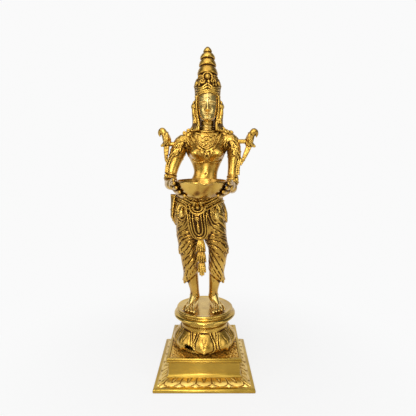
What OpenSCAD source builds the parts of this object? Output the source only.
// Cast brass lamp: a standing figure holds an oil bowl in front of the waist, with a parrot at each arm.
// Millimetres, +Z up, the front faces -Y, origin on the floor under the middle of the plinth.

/* [Plinth] */
// Width of the square foot slab
slab_w = 176; // [168:1:190]
// Height of the foot slab
slab_h = 8; // [6:0.5:14]
// Height of the sloping petal course
course_h = 7; // [6:0.5:14]
// Width across the top of the petal course
course_top_w = 138; // [136:1:146]
// Petals along one side of the course, between the corner petals
side_petals = 5; // [3:2:7]
// Width of the block's mouldings
block_w = 134; // [126:1:136]
// Height of the block
block_h = 35; // [28:1:60]
// Height of the block's foot moulding
block_foot_h = 4; // [2:0.5:6]
// Height of the block's top moulding
block_cap_h = 7; // [5:0.5:10]
// Depth of the plain panels behind the mouldings
panel_in = 3.6; // [2:0.2:5]
// Depth of the sunk field on top of the block
field_depth = 1.2; // [0.6:0.1:2]
// Width of the raised border round that field
border_w = 6; // [4:0.5:8]
// Wall of the hollow base castings
wall = 6; // [5:0.5:8]

/* [Pedestal] */
// Height of the lotus bulb
lotus_h = 40; // [34:1:52]
// Largest radius of the bulb behind its petals
lotus_r = 55; // [50:1:57]
// Petals round the bulb
lotus_petals = 8; // [8:1:12]
// Height of the neck above the bulb
neck_h = 9; // [6:0.5:14]
// Radius of the neck
neck_r = 44; // [40:1:48]
// Height of the round standing disc
disc_h = 21; // [16:1:28]
// Largest radius of the disc
disc_r = 59.5; // [57:0.5:62]
// Radius of the flat standing top
disc_top_r = 53; // [50:0.5:55]
// Thread radius of the tie stud
stud_r = 5; // [4:0.5:6]

/* [Figure] */
// Height from the sole to the waist joint
leg_h = 232; // [222:1:245]
// Height from the sole to the knee
knee_up = 112; // [106:1:118]
// Height from the sole to the widest part of the hips
hip_up = 178; // [174:1:184]
// Half width of the ankle
ankle_r = 9; // [8:0.25:10]
// Half width of the knee
knee_r = 15; // [13:0.5:16]
// Half width of the hips
hip_half = 50; // [46:1:53]
// Half depth of the hips
hip_deep = 33; // [31:0.5:36]
// Height from the waist joint to the neck joint
torso_h = 104; // [98:1:112]
// Half width of the waist
waist_half = 22.5; // [20:0.5:25]
// Half width of the chest at the shoulders
chest_half = 38; // [36:0.5:40]
// Height of each breast above the chest
bust_out = 15; // [11:0.5:16]
// Height from the neck joint to the crown seat
head_h = 60; // [57:1:64]
// Half width of the face
face_half = 19; // [17:0.5:20]
// Half width of the neck
throat_r = 13; // [11:0.5:14]
// Height of the chin above the collar
chin_h = 14; // [10:0.5:16]
// Height of the crown
crown_h = 92; // [80:1:110]
// Radius of the crown's band
crown_r = 23.5; // [22.5:0.5:26]

/* [Bowl] */
// Outside radius of the oil bowl at the rim
bowl_r = 43; // [41:0.5:44]
// Depth of the bowl from rim to foot
bowl_h = 30; // [26:1:32]
// Wall of the bowl
bowl_wall = 2.4; // [1.8:0.2:3.2]
// How far the rim tips towards the front, in degrees
bowl_tip = 6; // [3:1:8]

/* [Fit] */
// Gap between a brazed ornament and the form it lies on
seat_gap = 0.3; // [0.25:0.05:0.4]
// Gap round pins, dowels and bolts
pin_gap = 0.2; // [0.15:0.05:0.3]
// Radius of the arm dowels
dowel_r = 3.5; // [2.5:0.25:4]

/* [Hidden] */
$fn = 48;
brass = [0.78, 0.60, 0.24];
pale_brass = [0.74, 0.62, 0.38];
steel = [0.55, 0.56, 0.58];

// Levels of the stack, each from the one below
course_z = slab_h;
block_z = course_z + course_h;
block_top = block_z + block_h;
lotus_z = block_top - field_depth;
neck_z = lotus_z + field_depth + lotus_h;
disc_z = neck_z + neck_h;
sole_z = disc_z + disc_h;
waist_z = sole_z + leg_h;
collar_z = waist_z + torso_h;
seat_z = collar_z + head_h;
crown_x = 6;

// The stance: the hips sway to the left of the picture, the head comes back over the right foot
hip_x = -10;
waist_x = 2.5;
left_ankle = [-19.7, 4];
right_ankle = [17.5, 4];
left_knee = [-30.5, -4];
right_knee = [26, -5];
ankle_up = 14;

// The bowl rests between the hands, clear of the waist
bowl_at = [-4, -67, waist_z + 11];
bowl_lift = [0, -0.5, 0.866];

// A form is [rows, level, bump]: rows of x, y, z, half width, half depth; level keeps the rings flat;
// bump(u, ang) swells the skin. u counts rows, ang is 0 at +X and -90 at the front.
function plain(u, ang) = 0;
function unit(v) = v / norm(v);
function mix(a, b, t) = a + (b - a) * t;
function spot(row) = [row[0], row[1], row[2]];
function u_at(form, z) = lookup(z, [for (i = [0 : len(form[0]) - 1]) [form[0][i][2], i]]);
function row_at(rows, u) =
    let (n = len(rows) - 1, i = max(0, min(floor(u), n - 1)), t = u - i,
         p = rows[max(i - 1, 0)], q = rows[i], r = rows[i + 1], s = rows[min(i + 2, n)])
    0.5 * (2 * q + (r - p) * t + (2 * p - 5 * q + 4 * r - s) * t * t + (3 * q - p - 3 * r + s) * t * t * t);
function heading(form, u) =
    let (n = len(form[0]) - 1)
    form[1] ? [0, 0, 1]
            : unit(spot(row_at(form[0], min(n, u + 0.1))) - spot(row_at(form[0], max(0, u - 0.1))));
function skin(form, u, ang, off = 0) =
    let (row = row_at(form[0], u), t = heading(form, u), side = unit([1, 0, 0] - t * t[0]),
         back = cross(t, side), out = off + form[2](u, ang))
    spot(row) + side * (row[3] + out) * cos(ang) + back * (row[4] + out) * sin(ang);

// Triangles between n rings of m points, and flat caps for a ring or for a shell's edge
function wall_faces(n, m, loop = false) =
    [for (i = [0 : loop ? n - 1 : n - 2], k = [0 : m - 1])
        let (a = i * m + k, b = i * m + (k + 1) % m,
            c = ((i + 1) % n) * m + (k + 1) % m, d = ((i + 1) % n) * m + k)
        each [[a, d, c], [a, c, b]]];
function ring_cap(at, m, flip) =
    [for (k = [1 : m - 2]) flip ? [at, at + k + 1, at + k] : [at, at + k, at + k + 1]];
function edge_cap(at, m, flip) =
    [for (k = [0 : m / 2 - 2])
        let (a = at + k, b = at + k + 1, c = at + m - 2 - k, d = at + m - 1 - k)
        each flip ? [[a, c, b], [a, d, c]] : [[a, b, c], [a, c, d]]];

// A closed solid inside a form, with a ring at each u of the list
function evenly(form, n) = [for (i = [0 : n]) (len(form[0]) - 1) * i / n];
module loft(form, us, sides) {
    rings = len(us);
    points = [for (u = us, k = [0 : sides - 1]) skin(form, u, 360 * k / sides)];
    polyhedron(points, concat(wall_faces(rings, sides), ring_cap(0, sides, false),
        ring_cap((rings - 1) * sides, sides, true)), convexity = 6);
}

// A band laid round a form; rim lists [du, off] corners, mid(ang) is where the band runs
module hoop(form, a0, a1, steps, mid, rim) {
    loop = a1 - a0 >= 360;
    rings = loop ? steps : steps + 1;
    m = len(rim);
    points = [for (i = [0 : rings - 1]) let (ang = mix(a0, a1, i / steps))
        for (c = rim) skin(form, mid(ang) + c[0], ang, c[1])];
    polyhedron(points, concat(wall_faces(rings, m, loop), loop ? [] : ring_cap(0, m, false),
        loop ? [] : ring_cap((rings - 1) * m, m, true)), convexity = 6);
}

// A shell laid on a form between u0 and u1, with t and v from 0 to 1;
// half(t) is its half angle and thick(t, v) its thickness
module panel(form, u0, u1, middle, half, thick, inner, steps = 10, across = 8) {
    m = 2 * (across + 1);
    points = [for (i = [0 : steps]) let (t = i / steps, u = mix(u0, u1, t))
        for (k = [0 : m - 1])
            let (outer = k <= across, v = (outer ? k : m - 1 - k) / across * 2 - 1)
            skin(form, u, middle + v * half(t), outer ? inner + thick(t, abs(v)) : inner)];
    polyhedron(points, concat(wall_faces(steps + 1, m), edge_cap(0, m, false), edge_cap(steps * m, m, true)),
        convexity = 6);
}

// A tapered rod with round ends, and a chain of them
module rod(a, b, ra, rb, n = 6) {
    hull() {
        translate(a) sphere(ra, $fn = n);
        translate(b) sphere(rb, $fn = n);
    }
}
module chain(points, n = 6) {
    for (i = [0 : len(points) - 2])
        rod(spot(points[i]), spot(points[i + 1]), points[i][3], points[i + 1][3], n);
}

// A flat petal with a raised middle, root at the origin, tip along +Y
function petal_line(w, l, n = 2) =
    concat([for (i = [0 : n]) [w / 2 * cos(90 * pow(i / n, 2)), l * i / n]],
           [for (i = [n - 1 : -1 : 0]) [-w / 2 * cos(90 * pow(i / n, 2)), l * i / n]]);
module petal(w, l, t) {
    hull() {
        linear_extrude(0.4) polygon(petal_line(w, l));
        translate([0, l * 0.08, 0]) linear_extrude(t) polygon([[w * 0.34, 0], [0, l * 0.78], [-w * 0.34, 0]]);
    }
}

// Dress and rings that swell the limbs: an anklet, the hem, and slanting folds; an armlet and bangles
function swell(u, at, wide) = exp(-pow((u - at) / wide, 2));
function leg_dress(u, ang, turn) =
    1.5 * swell(u, 0.45, 0.14) + 2.6 * swell(u, 1.5, 0.1)
    + (u > 1.4 && u < 3.5 ? 1.8 * pow(abs(cos(180 * (1.7 * u + turn * ang / 120))), 3) : 0);
function arm_rings(u) =
    2.2 * swell(u, 2.25, 0.22) + 1.7 * (swell(u, 4.15, 0.13) + swell(u, 4.6, 0.13))
    + 1.8 * swell(u, 7.1, 0.2);
leg_us = concat([0, 0.3, 0.45, 0.6, 1, 1.36, 1.5, 1.62], [for (u = [1.8 : 0.22 : 3.5]) u], [4, 5]);
arm_us = [0, 0.8, 1.3, 1.7, 1.98, 2.25, 2.52, 3, 3.5, 3.98, 4.15, 4.37, 4.6,
    4.8, 5.2, 5.7, 6.2, 6.8, 7.1, 7.4, 8];

// Forms of the figure
left_leg_form = [[
    [left_ankle[0], left_ankle[1], sole_z + ankle_up, ankle_r + 1, ankle_r + 3],
    [left_ankle[0], left_ankle[1], sole_z + ankle_up + 16, ankle_r, ankle_r + 1],
    [-25, 3, sole_z + knee_up * 0.56, knee_r - 2.5, knee_r - 1],
    [left_knee[0], left_knee[1], sole_z + knee_up, knee_r, knee_r + 1],
    [-31, -2, sole_z + mix(knee_up, hip_up, 0.42), knee_r + 5, knee_r + 7],
    [-30, 0, sole_z + hip_up, knee_r + 8, hip_deep - 6]], false, function(u, ang) leg_dress(u, ang, -1)];
right_leg_form = [[
    [right_ankle[0], right_ankle[1], sole_z + ankle_up, ankle_r + 1, ankle_r + 3],
    [right_ankle[0], right_ankle[1], sole_z + ankle_up + 16, ankle_r, ankle_r + 1],
    [21.5, 3, sole_z + knee_up * 0.56, knee_r - 2, knee_r - 1],
    [right_knee[0], right_knee[1], sole_z + knee_up, knee_r + 1, knee_r + 1],
    [20, -2, sole_z + mix(knee_up, hip_up, 0.42), knee_r + 5, knee_r + 7],
    [15, 0, sole_z + hip_up, knee_r + 8, hip_deep - 6]], false, function(u, ang) leg_dress(u, ang, 1)];
hips_form = [[
    [hip_x + 4, 0, sole_z + hip_up - 44, hip_half * 0.62, hip_deep * 0.7],
    [hip_x + 3, 0, sole_z + hip_up - 26, hip_half * 0.86, hip_deep * 0.92],
    [hip_x, 1, sole_z + hip_up, hip_half, hip_deep],
    [hip_x, 1, mix(sole_z + hip_up, waist_z, 0.45), hip_half * 0.9, hip_deep * 0.9],
    [hip_x, 1, mix(sole_z + hip_up, waist_z, 0.8), hip_half * 0.76, hip_deep * 0.74],
    [hip_x + 2, 1, waist_z, hip_half * 0.62, hip_deep * 0.66]], true, function(u, ang) plain(u, ang)];
function bust(u, ang) =
    bust_out * swell(u, 4, 0.75) * (swell((ang + 360) % 360, 242, 21) + swell((ang + 360) % 360, 301, 21));
torso_form = [[
    [hip_x + 2, 1, waist_z, hip_half * 0.6, hip_deep * 0.64],
    [-1, 1, waist_z + torso_h * 0.13, waist_half + 2.5, waist_half - 2],
    [waist_x, 0, waist_z + torso_h * 0.27, waist_half, waist_half - 4],
    [waist_x, 0, waist_z + torso_h * 0.43, waist_half + 4, waist_half - 2.5],
    [waist_x, 1, waist_z + torso_h * 0.58, mix(waist_half, chest_half, 0.66), waist_half],
    [3.5, 2, waist_z + torso_h * 0.73, chest_half - 2, waist_half],
    [4, 3, waist_z + torso_h * 0.85, chest_half, waist_half - 3],
    [5, 4, waist_z + torso_h * 0.94, chest_half - 6, waist_half - 6],
    [5, 4, collar_z, throat_r + 3, throat_r + 1]], true, function(u, ang) bust(u, ang)];
face_y = -35;
function face_z(t) = collar_z + mix(chin_h, head_h, t);
function head_row(t, w, front, back) = [crown_x, (front + back) / 2, face_z(t), w, (back - front) / 2];
head_form = [[
    head_row(0, face_half * 0.3, face_y + 4, face_y + 18),
    head_row(0.09, face_half * 0.58, face_y + 1, face_y + 32),
    head_row(0.26, face_half * 0.82, face_y, face_y + 48),
    head_row(0.48, face_half * 0.97, face_y, face_y + 55),
    head_row(0.74, face_half + 1.2, face_y + 0.8, face_y + 58),
    head_row(0.9, face_half + 2, face_y + 2.4, face_y + 58),
    head_row(1, face_half + 2, face_y + 4.6, face_y + 57)], true, function(u, ang) plain(u, ang)];
throat_form = [[
    [5, 4, collar_z, throat_r + 0.8, throat_r + 0.5],
    [5.4, 3, collar_z + head_h * 0.16, throat_r, throat_r],
    [crown_x, -2, collar_z + head_h * 0.42, throat_r, throat_r + 2]], true, function(u, ang) plain(u, ang)];
left_arm_form = [[
    [-22, 3, collar_z - 17, 10, 10],
    [-43, 3, collar_z - 19, 14, 14],
    [-53, 1, collar_z - 38, 13, 13],
    [-61, -2, collar_z - 61, 12, 12],
    [-66, -6, collar_z - 82, 10.5, 10.5],
    [-67, -14, collar_z - 97, 10, 10.5],
    [-63, -30, collar_z - 100, 9.5, 9.5],
    [-57, -46, collar_z - 100, 8, 8.5],
    [-53, -58, collar_z - 99, 7.5, 7.5]], false, function(u, ang) arm_rings(u)];
right_arm_form = [[
    [29, 3, collar_z - 16.4, 10, 10],
    [50, 3, collar_z - 18, 14, 14],
    [56, 1, collar_z - 38, 13, 13],
    [55, -2, collar_z - 61, 12, 12],
    [53, -6, collar_z - 86, 10.5, 10.5],
    [51, -14, collar_z - 104, 10, 10.5],
    [50, -30, collar_z - 106, 9.5, 9.5],
    [48, -46, collar_z - 104, 8, 8.5],
    [45, -58, collar_z - 101, 7.5, 7.5]], false, function(u, ang) arm_rings(u)];

// Plinth
module square_plate(w, h, corner) {
    linear_extrude(h) offset(r = corner, $fn = 32) square(w - 2 * corner, center = true);
}
module foot_slab() {
    color(pale_brass) difference() {
        union() {
            square_bar(slab_w, slab_h - 3);
            hull() for (e = [[3.4, 0], [1.4, 2], [0.4, 6]])
                translate([0, 0, slab_h - e[0]]) square_bar(slab_w - e[1], 0.4);
        }
        translate([0, 0, -1]) square_bar(course_top_w - 4 * wall, slab_h + 2);
    }
}
module petal_course() {
    low_w = slab_w - 11;
    run = (low_w - course_top_w) / 2;
    slope = atan2(course_h, run);
    long = norm([run, course_h]) * 1.02;
    pitch = low_w / (side_petals + 1);
    color(brass) difference() {
        union() {
            hull() {
                translate([0, 0, course_z]) square_plate(low_w - 6, 0.4, 2);
                translate([0, 0, block_z - 0.4]) square_plate(course_top_w, 0.4, 1);
            }
            for (q = [0 : 3]) rotate([0, 0, 90 * q]) {
                for (i = [0 : side_petals - 1])
                    translate([(i - (side_petals - 1) / 2) * pitch, -course_top_w / 2, block_z - 2])
                        rotate([180 + slope, 0, 0]) mirror([0, 0, 1]) petal(pitch * 0.95, long, 2.6);
                rotate([0, 0, 45]) translate([0, -course_top_w * 0.7, block_z - 2])
                    rotate([180 + slope * 0.8, 0, 0]) mirror([0, 0, 1]) petal(pitch * 0.9, long * 1.35, 2.4);
            }
        }
        translate([0, 0, course_z - slab_h]) cube([2 * slab_w, 2 * slab_w, 2 * slab_h], center = true);
        translate([0, 0, block_z + slab_h]) cube([2 * slab_w, 2 * slab_w, 2 * slab_h], center = true);
        cube([course_top_w - 4 * wall, course_top_w - 4 * wall, 4 * block_z], center = true);
    }
}
module square_bar(w, h) {
    translate([-w / 2, -w / 2, 0]) cube([w, w, h]);
}
module plinth_block() {
    body_w = block_w - 2 * panel_in;
    top = block_z + block_h;
    color(pale_brass) difference() {
        union() {
            translate([0, 0, block_z]) square_bar(block_w, block_foot_h - 1.5);
            hull() {
                translate([0, 0, block_z + block_foot_h - 1.5]) square_bar(block_w, 0.3);
                translate([0, 0, block_z + block_foot_h]) square_bar(body_w, 0.3);
            }
            translate([0, 0, block_z]) square_bar(body_w, block_h - 1);
            hull() {
                translate([0, 0, top - block_cap_h - 1.8]) square_bar(body_w, 0.3);
                translate([0, 0, top - block_cap_h]) square_bar(block_w, 0.3);
            }
            translate([0, 0, top - block_cap_h]) square_bar(block_w, block_cap_h);
        }
        translate([0, 0, top - field_depth]) square_bar(block_w - 2 * border_w, field_depth + 1);
        translate([0, 0, block_z - 1]) square_bar(body_w - 2 * wall, block_h - wall - field_depth + 1);
        translate([0, 0, block_z]) cylinder(r = stud_r + pin_gap, h = block_h + 1);
    }
}

// Pedestal
bulb = [[0.94, 0.06], [1, 0.2], [1.02, 0.42], [0.97, 0.66], [0.87, 0.86], [0.82, 1]];
void_at = [-30.6, -48, lotus_z + 12];
module lotus_base() {
    pitch = 360 / lotus_petals;
    high = field_depth + lotus_h;
    wide = lotus_r * sin(pitch / 2) * 1.02;
    color(brass) difference() {
        union() {
            rotate([0, 0, 2]) rotate_extrude($fn = 20) polygon(concat(
                [[neck_r - 2 * wall, lotus_z], [lotus_r * 0.92, lotus_z]],
                [for (b = bulb) [lotus_r * b[0], lotus_z + high * b[1]]],
                [[neck_r - 2 * wall, lotus_z + high]]));
            for (i = [0 : lotus_petals - 1]) rotate([0, 0, -90 + i * pitch]) {
                hull() {
                    translate([lotus_r * 0.87, 0, lotus_z + high * 0.82])
                        scale([0.22, 1, 0.34]) sphere(wide * 0.8, $fn = 8);
                    translate([lotus_r - 0.6, 0, lotus_z + 15.3])
                        scale([0.27, 1, 0.55]) sphere(wide * 0.96, $fn = 8);
                    translate([lotus_r + 5, 0, lotus_z + 7]) scale([0.6, 1.4, 0.7]) sphere(2.6, $fn = 6);
                }
            }
        }
        translate([0, 0, lotus_z - 1])
            cylinder(r1 = lotus_r - 2 * wall + 2, r2 = neck_r - wall, h = high * 0.75, $fn = 16);
        hull() for (d = [[-6, 2.4], [4, -1], [8, -5]])
            translate(void_at + [d[0], -d[0] * 0.7, d[1]]) rotate([90, 0, -31])
                cylinder(r = 2, h = 16, center = true, $fn = 7);
    }
}
module pedestal_disc() {
    color(brass) difference() {
        rotate_extrude($fn = 96) polygon([[0, disc_z - neck_h + 3], [neck_r - wall - 2, disc_z - neck_h + 3],
            [neck_r - wall - 2, disc_z - neck_h], [neck_r + 2, disc_z - neck_h],
            [neck_r + 2, disc_z - neck_h + 2.5], [neck_r - 1, disc_z - neck_h + 3.5], [neck_r - 1.6, disc_z],
            [neck_r, disc_z + disc_h * 0.16], [disc_r - 3, disc_z + disc_h * 0.25],
            [disc_r - 0.4, disc_z + disc_h * 0.3], [disc_r, disc_z + disc_h * 0.38],
            [disc_r - 1, disc_z + disc_h * 0.45], [disc_r - 2.4, disc_z + disc_h * 0.5],
            [disc_r - 3.2, disc_z + disc_h * 0.6], [disc_top_r + 1.6, disc_z + disc_h * 0.76],
            [disc_top_r + 1.4, disc_z + disc_h * 0.9], [disc_top_r + 0.4, disc_z + disc_h * 0.98],
            [disc_top_r - 1, sole_z], [0, sole_z]]);
        translate([0, 0, disc_z - neck_h - 1]) cylinder(r = stud_r + pin_gap, h = neck_h + 13);
        for (at = [left_ankle, right_ankle]) {
            translate([at[0], at[1], disc_z]) cylinder(r = bolt_r + pin_gap, h = disc_h + 1);
            translate([at[0], at[1], disc_z - neck_h]) cylinder(r = bolt_r + 4, h = neck_h + bolt_head + 1);
        }
    }
}
bolt_r = 4;
bolt_head = 5;
module foot_bolts() {
    color(steel) for (at = [left_ankle, right_ankle]) translate([at[0], at[1], disc_z + 1]) {
        cylinder(r = bolt_r, h = disc_h + 11);
        cylinder(r = bolt_r + 3, h = bolt_head, $fn = 6);
    }
}
nut_h = 8;
washer_h = 2;
stud_foot = block_z + block_h - wall - field_depth - washer_h - nut_h - 4;
module tie_stud() {
    color(steel) translate([0, 0, stud_foot]) cylinder(r = stud_r, h = disc_z + 11 - stud_foot);
}
module tie_washer() {
    color(steel) translate([0, 0, stud_foot + 4 + nut_h]) difference() {
        cylinder(r = stud_r + 6, h = washer_h);
        translate([0, 0, -1]) cylinder(r = stud_r + pin_gap, h = washer_h + 2);
    }
}
module tie_nut() {
    color(steel) translate([0, 0, stud_foot + 4]) difference() {
        cylinder(r = stud_r * 1.9, h = nut_h, $fn = 6);
        translate([0, 0, -1]) cylinder(r = stud_r + pin_gap, h = nut_h + 2);
    }
}

// Lower body
module foot(ankle, out) {
    up = sole_z;
    x = ankle[0];
    y = ankle[1];
    rod([x, y, up + ankle_up + 2], [x, y + 8, up + 7], ankle_r, 8);
    rod([x, y, up + ankle_up], [x + out * 6, y - 26, up + 5.5], ankle_r, 6.5);
    rod([x + out * 4, y + 4, up + 6], [x + out * 14, y - 24, up + 5], 6, 5);
    for (i = [0 : 4])
        rod([x + out * (1 + 3.7 * i), y - 28 + 1.4 * i, up + 4.6],
            [x + out * (1.5 + 4.1 * i), y - 42 + 2.2 * i, up + 3.4],
            3.6 - 0.2 * i, 3.4 - 0.3 * i, 5);
}
module lower_body() {
    color(brass) difference() {
        union() {
            loft(left_leg_form, leg_us, 12);
            loft(right_leg_form, leg_us, 12);
            loft(hips_form, evenly(hips_form, 8), 18);
            foot(left_ankle, -1);
            foot(right_ankle, 1);
        }
        translate([0, 0, sole_z - 20]) cube([400, 400, 40], center = true);
        for (at = [left_ankle, right_ankle])
            translate([at[0], at[1], sole_z - 1]) cylinder(r = bolt_r + pin_gap, h = 13, $fn = 32);
        translate([hip_x + 2, 1, waist_z - 20]) cylinder(r = waist_pin + pin_gap, h = 21, $fn = 32);
    }
}
waist_pin = 6;
module waist_dowel() {
    color(steel) translate([hip_x + 2, 1, waist_z - 19.5]) cylinder(r = waist_pin, h = 39);
}

// Dress ornaments on the hips; the belt dips to the clasp in front
belt_u = 3.65;
clasp_r = 14;
clasp_gap = 1;
clasp_z = bowl_at[2] - bowl_h - clasp_gap - clasp_r;
clasp_u = u_at(hips_form, clasp_z);
belt_dip = belt_u - clasp_u - 0.07;
function belt_mid(ang) = belt_u - belt_dip * exp(-pow(((ang + 360) % 360 - 270) / 42, 2));
module girdle() {
    color(brass) {
        hoop(hips_form, 0, 360, 36, function(a) belt_mid(a),
            [[0.42, 3.4], [0.2, 4.6], [0, 3.2], [-0.22, 4.6],
                [-0.5, 4.2], [-0.5, 2 * seat_gap], [0.42, 2 * seat_gap]]);
    }
}
clasp_y = skin(hips_form, clasp_u - 0.42, -90, 4.8)[1];
apron_u = u_at(hips_form, clasp_z - clasp_r + 1);
module girdle_clasp() {
    color(brass) translate([hip_x - 2, clasp_y - seat_gap, clasp_z]) rotate([90, 0, 0]) {
        cylinder(r1 = clasp_r, r2 = clasp_r - 4, h = 4, $fn = 28);
        translate([0, -1, 3]) cylinder(r1 = 9, r2 = 5, h = 4, $fn = 20);
        for (s = [-1, 1]) translate([s * 5, 4, 2]) cylinder(r = 3, h = 4.5, $fn = 16);
    }
}
module apron_sash() {
    color(brass)
        panel(hips_form, 0.2, apron_u, -94, function(t) 4 + 19 * pow(sin(90 * min(1, t * 1.5 + 0.04)), 0.6),
            function(t, v) v > 0.7 ? 3.4 : 2.2, seat_gap, 8, 6);
}
tassel_x = skin(hips_form, 0.2, -88)[0];
tassel_y = skin(hips_form, 0.2, -88, seat_gap)[1];
tassel_z = row_at(hips_form[0], 0.2)[2] - seat_gap;
tassel_l = 72;
module hanging_tassel() {
    color(brass) for (k = [0 : 2], i = [-1 : 1]) {
        top = tassel_z - 2.2 - k * tassel_l * 0.3;
        low = tassel_z - (k + 1) * tassel_l * 0.3 - (k == 2 ? tassel_l * 0.1 : 0);
        y = tassel_y - 2.6 - k * 0.5;
        rod([tassel_x + i * 3, y, top], [tassel_x + i * (5.6 - k * 0.4), y - 0.3, low], 2.2, 3.1 - k * 0.15);
    }
}
module hip_sash() {
    color(brass) {
        for (e = [[180, 1.2, 14], [0, 1.7, 9]])
            panel(hips_form, e[1], belt_u - 0.62, e[0], function(t) e[2] + 4 * sin(180 * t),
                function(t, v) 3 + 2.6 * pow(abs(cos(t * 540)), 0.5) * (1 - v), seat_gap, 8, 4);
        chain([for (e = [[2.4, 3, 3], [3.1, 9.4, 3.2], [3.8, 13.4, 1.8]])
            concat(skin(hips_form, e[0], 180, e[1]), e[2])], 6);
    }
}

// Upper body
module torso_body() {
    loft(torso_form, evenly(torso_form, 16), 22);
    for (i = [-2 : 2])
        chain([[4 + i * 6, 14, collar_z - 10, 4], [4 + i * 9, 19, collar_z - 24, 3.6],
            [4 + i * 7, 20, collar_z - 44, 1.6]], 6);
}
module arm_bores(gap) {
    for (a = [[-26, 4], [34, 4]])
        translate([a[0] + (a[0] < 0 ? -22 : -8) - gap, a[1], collar_z - 14]) rotate([0, 90, 0])
            cylinder(r = dowel_r + gap, h = 30 + 2 * gap, $fn = 32);
}
module torso() {
    color(brass) difference() {
        torso_body();
        arm_bores(pin_gap);
        translate([hip_x + 2, 1, waist_z - 1]) cylinder(r = waist_pin + pin_gap, h = 21, $fn = 32);
        translate([5, 4, collar_z - 11]) cylinder(r = throat_pin + pin_gap, h = 12, $fn = 32);
        translate([0, 0, collar_z + 20]) cube([400, 400, 40], center = true);
    }
}
module arm_dowels() {
    color(steel) arm_bores(0);
}
throat_pin = 4;
module neck_dowel() {
    color(steel) translate([5, 4, collar_z - 10.5]) cylinder(r = throat_pin, h = 21);
}
module necklace() {
    color(brass) difference() {
        panel(torso_form, 4.2, 7.6, -90, function(t) mix(5, 40, pow(t, 0.8)),
            function(t, v) v > 0.75 ? 3.2 : 2 + 0.8 * pow(abs(sin(t * 540)), 0.7), 2 * seat_gap, 10, 8);
        torso_body();
    }
}
module hand(form, s) {
    w = spot(form[0][8]);
    rod(w, w + [s * -4, -9, -1], 7.5, 8);
    rod(w + [s * -2, -4, 4], w + [s * -6, -14, 9], 4.2, 3.2);
    for (i = [0 : 3]) {
        k = w + [s * (-3 - i), -4 - 6.2 * i, -5];
        chain([[k[0], k[1], k[2], 4.4], [k[0] - s * 9, k[1] - 4, k[2] - 7, 3.8],
            [k[0] - s * 19, k[1] - 6, k[2] - 11, 3]], 5);
    }
}
module arm(form, s) {
    difference() {
        union() {
            loft(form, arm_us, 12);
            hand(form, s);
        }
        torso_body();
        arm_bores(pin_gap);
        parrot_bores(pin_gap);
        hull() for (t = [0, 40])
            translate(bowl_lift * t) bowl_place() bowl_solid(bowl_r + 2 * seat_gap, 0.6, 28);
    }
}
module left_arm() {
    color(brass) arm(left_arm_form, -1);
}
module right_arm() {
    color(brass) arm(right_arm_form, 1);
}

// Parrots: each stands on a short bar that is pinned to the upper arm
left_bar = [-54, -3, collar_z - 24];
right_bar = [60, -3, collar_z - 19];
bar_end_l = [-70, -3, collar_z - 18];
bar_end_r = [84, -3, collar_z - 19];
module parrot_bores(gap) {
    for (b = [[left_bar, -1], [right_bar, 1]])
        translate(b[0] + [b[1] * 16 + (b[1] < 0 ? 0 : -20) - gap, 0, 0]) rotate([0, 90, 0])
            cylinder(r = 1.6 + gap, h = 20 + 2 * gap, $fn = 24);
}
module parrot(bar, perch, tail, s) {
    p = perch;
    difference() {
        union() {
            rod(bar, [p[0] - s * 2, p[1], bar[2]], 4, 4.2);
            hull() {
                translate(p + [0, 0, 1]) scale([1, 0.9, 1.3]) sphere(6.8, $fn = 6);
                translate(p + [s * 3.4, 0, 13]) sphere(5.8, $fn = 6);
            }
            rod(p + [s * 3.4, 0, 13], p + [s * 9, 0, 19], 5.8, 6.2);
            rod(p + [s * 9, 0, 19], p + [s * 14.5, 0, 17.5], 5.6, 3.2);
            rod(p + [s * 14.5, 0, 17.5], p + [s * 13.8, 0, 10], 2.8, 1.2, 6);
            for (w = [-1, 1]) hull() {
                translate(p + [0, w * 4, 7]) scale([1, 0.6, 1]) sphere(5, $fn = 6);
                translate(p + [s * 8, w * 2.4, -8.5]) scale([1, 0.6, 1]) sphere(2.6, $fn = 6);
            }
            rod(p + [s * 2, 0, -7], tail, 4.6, 1.8);
        }
        loft(s < 0 ? left_arm_form : right_arm_form, arm_us, 12);
        parrot_bores(pin_gap);
    }
}
module left_parrot() {
    color(brass) parrot(left_bar, bar_end_l, [-72, -6, collar_z - 58], -1);
}
module right_parrot() {
    color(brass) parrot(right_bar, bar_end_r, [69, -6, collar_z - 64], 1);
}
module parrot_pins() {
    color(steel) parrot_bores(0);
}

// Head
module head() {
    f = face_y;
    up = function(t) collar_z + head_h * t;
    color(brass) difference() {
        union() {
            loft(head_form, evenly(head_form, 8), 16);
            loft(throat_form, evenly(throat_form, 3), 14);
            rod([crown_x, f + 1, face_z(0.6)], [crown_x, f - 3.5, face_z(0.37)], 1.6, 2.4, 6);
            rod([crown_x - 4, f + 0.4, face_z(0.22)], [crown_x + 4, f + 0.4, face_z(0.22)], 1.8, 1.8);
            rod([crown_x, f + 46, up(0.55)], [5, f + 48, up(0.08)], 11, 7);
            for (s = [-1, 1]) {
                rod([crown_x, f - 2.5, face_z(0.36)], [crown_x + s * 2.4, f - 1, face_z(0.35)], 2, 1.8, 6);
                rod([crown_x + s * 4.5, f + 0.6, face_z(0.54)],
                    [crown_x + s * 11.5, f + 3, face_z(0.55)], 1.8, 1.5, 6);
                chain([[crown_x + s * 19, f + 37, up(0.9), 5.5], [crown_x + s * 23, f + 37, up(0.7), 7],
                    [crown_x + s * 20, f + 37, up(0.4), 6.8], [crown_x + s * 27, f + 38, up(0.13), 6.6]], 6);
            }
        }
        translate([0, 0, collar_z - 20]) cube([400, 400, 40], center = true);
        translate([0, 0, seat_z + 20]) cube([400, 400, 40], center = true);
        translate([5, 4, collar_z - 1]) cylinder(r = throat_pin + pin_gap, h = 12, $fn = 32);
        translate([crown_x, crown_y, seat_z - 11]) cylinder(r = crown_pin + pin_gap, h = 12, $fn = 32);
    }
}
crown_y = -6;
crown_pin = 5;
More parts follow.
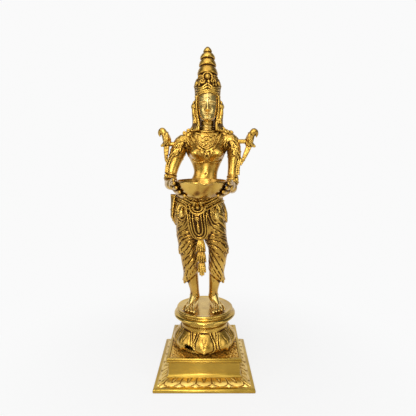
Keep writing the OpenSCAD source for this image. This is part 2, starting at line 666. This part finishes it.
module crown_dowel() {
    color(steel) translate([crown_x, crown_y, seat_z - 10.5]) cylinder(r = crown_pin, h = 21);
}
module ear_drop(s) {
    x = crown_x + s * 24.5;
    up = function(t) collar_z + head_h * t;
    color(brass) difference() {
        union() {
            rod([x, face_y + 21, up(0.86)], [x + s * 2.6, face_y + 20, up(0.64)], 4.6, 6, 6);
            rod([x + s * 2.6, face_y + 20, up(0.64)], [x + s * 1, face_y + 20, up(0.3)], 5.4, 3.6, 6);
            rod([x + s * 1, face_y + 20, up(0.3)], [x, face_y + 20, up(0.14)], 4.4, 2.4, 6);
            for (k = [0 : 3]) rod([x + s * 4, face_y + 20 + 5 * cos(90 * k), up(0.64) + 5 * sin(90 * k)],
                [x + s * 6.6, face_y + 20 + 4 * cos(90 * k), up(0.64) + 4 * sin(90 * k)], 2.6, 1.6, 6);
        }
        head();
    }
}
module left_ear_drop() {
    ear_drop(-1);
}
module right_ear_drop() {
    ear_drop(1);
}

// Crown: a wide band, then stacked rings that get smaller, and a bud
module crown() {
    r = crown_r;
    h = crown_h;
    color(brass) difference() {
        union() {
            translate([crown_x, crown_y, seat_z]) rotate_extrude($fn = 16) polygon([[0, 0], [r * 0.97, 0],
                [r, h * 0.05], [r, h * 0.24], [r * 0.92, h * 0.32], [r * 0.68, h * 0.38], [r * 0.68, h * 0.43],
                [r * 0.8, h * 0.455], [r * 0.78, h * 0.5], [r * 0.6, h * 0.58], [r * 0.68, h * 0.61],
                [r * 0.66, h * 0.66], [r * 0.52, h * 0.725], [r * 0.59, h * 0.755], [r * 0.56, h * 0.81],
                [r * 0.36, h * 0.865], [r * 0.36, h * 0.89], [r * 0.24, h * 0.955], [0, h]]);
            translate([crown_x, crown_y, seat_z]) for (k = [0 : 7]) rotate([0, 0, 45 * k - 90]) hull() {
                translate([r * 0.94, 0, h * 0.08]) scale([0.4, 1, 1]) sphere(7, $fn = 6);
                translate([r * (k == 0 ? 0.95 : 0.93), 0, h * (k == 0 ? 0.34 : 0.27)])
                    scale([0.5, 1, 1]) sphere(k == 0 ? 5 : 2.4, $fn = 6);
            }
        }
        translate([0, 0, seat_z - 20]) cube([400, 400, 40], center = true);
        translate([crown_x, crown_y, seat_z - 1]) cylinder(r = crown_pin + pin_gap, h = 12, $fn = 32);
    }
}

// Oil bowl, in its own frame with the rim's middle at the origin
module bowl_place() {
    translate(bowl_at) rotate([bowl_tip, 0, 0]) children();
}
module bowl_solid(r, under = 0, sides = 72) {
    rotate_extrude($fn = sides) polygon([
        [0, -bowl_h - under], [r * 0.34, -bowl_h - under], [r * 0.62, -bowl_h * 0.88 - under],
        [r * 0.82, -bowl_h * 0.62 - under], [r * 0.94, -bowl_h * 0.3], [r * 0.97, -3], [r, -2.4],
        [r, 0], [0, 0]]);
}
module oil_bowl() {
    w = bowl_wall;
    color(brass) bowl_place() difference() {
        bowl_solid(bowl_r);
        rotate_extrude($fn = 72) polygon([[0, -bowl_h + w], [bowl_r * 0.34 - w * 0.4, -bowl_h + w],
            [bowl_r * 0.62 - w * 0.7, -bowl_h * 0.88 + w * 0.8],
            [bowl_r * 0.82 - w, -bowl_h * 0.62 + w * 0.5],
            [bowl_r * 0.94 - w, -bowl_h * 0.3], [bowl_r * 0.97 - w, -3], [bowl_r * 0.97 - w, 1], [0, 1]]);
        translate([0, -bowl_r, 1.4]) rotate([-60, 0, 0]) cylinder(r = 4, h = 30, center = true);
    }
}

foot_slab();
petal_course();
plinth_block();
lotus_base();
pedestal_disc();
tie_stud();
tie_washer();
tie_nut();
foot_bolts();
lower_body();
girdle();
girdle_clasp();
apron_sash();
hanging_tassel();
hip_sash();
waist_dowel();
torso();
necklace();
left_arm();
right_arm();
arm_dowels();
left_parrot();
right_parrot();
parrot_pins();
neck_dowel();
head();
left_ear_drop();
right_ear_drop();
crown_dowel();
crown();
oil_bowl();
